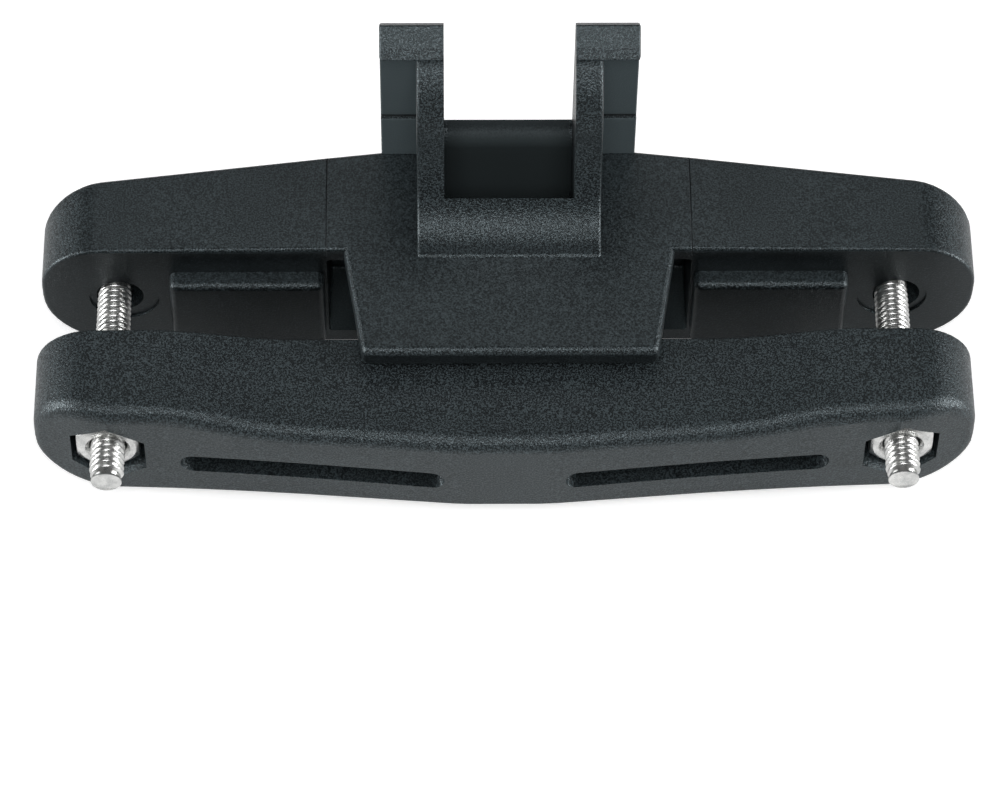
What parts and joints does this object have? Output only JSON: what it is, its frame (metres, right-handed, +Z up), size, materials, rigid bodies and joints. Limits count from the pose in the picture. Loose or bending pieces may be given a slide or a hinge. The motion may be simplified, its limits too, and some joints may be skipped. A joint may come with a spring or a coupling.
{
  "type": "saddle bag mount",
  "caption": "Black moulded two-jaw clamp for saddle rails, drawn together by socket screws and nuts, with an upright slotted hitch that a saddle bag clips onto.",
  "frame": {"origin": "middle of the clamp on the surface that it stands on, halfway between the screws' tips and the back of the hitch", "axes": "+X along the jaws, +Y from the front jaw to the hitch jaw, along the screws, +Z up through the top plate"},
  "size_m": [0.1067, 0.0414, 0.0404],
  "materials": {
    "black_nylon_rear": "injection-moulded black nylon with a fine eroded texture",
    "black_nylon_front": "injection-moulded black nylon with a fine eroded texture, smoother on its front face",
    "zinc_plated_steel": "bright zinc-plated screw with a rolled thread",
    "zinc_plated_nut": "bright zinc-plated nut"
  },
  "bodies": {
    "hitch_jaw_body": {"hitch_jaw": "black_nylon_rear"},
    "screw_left_body": {"screw_left": "zinc_plated_steel"},
    "screw_right_body": {"screw_right": "zinc_plated_steel"},
    "clamp_jaw_body": {"clamp_jaw": "black_nylon_front", "nut_left": "zinc_plated_nut", "nut_right": "zinc_plated_nut"}
  },
  "joints": [
    {"name": "clamp_jaw_slide", "type": "slide", "parent": "hitch_jaw_body", "child": "clamp_jaw_body", "axis": [0, 1, 0], "range_m": [-0.0042, 0.00735]},
    {"name": "screw_left_turn", "type": "hinge", "parent": "hitch_jaw_body", "child": "screw_left_body", "pos_m": [-0.0451, 0.00925, 0.0089], "axis": [0, -1, 0], "range_deg": [-2165, 3785]},
    {"name": "screw_right_turn", "type": "hinge", "parent": "hitch_jaw_body", "child": "screw_right_body", "pos_m": [0.0439, 0.00925, 0.0089], "axis": [0, -1, 0], "range_deg": [-2165, 3785]}
  ],
  "couplings": [
    {"joint": "screw_left_turn", "follows": "clamp_jaw_slide", "rad_per_m": 8976},
    {"joint": "screw_right_turn", "follows": "clamp_jaw_slide", "rad_per_m": 8976}
  ]
}
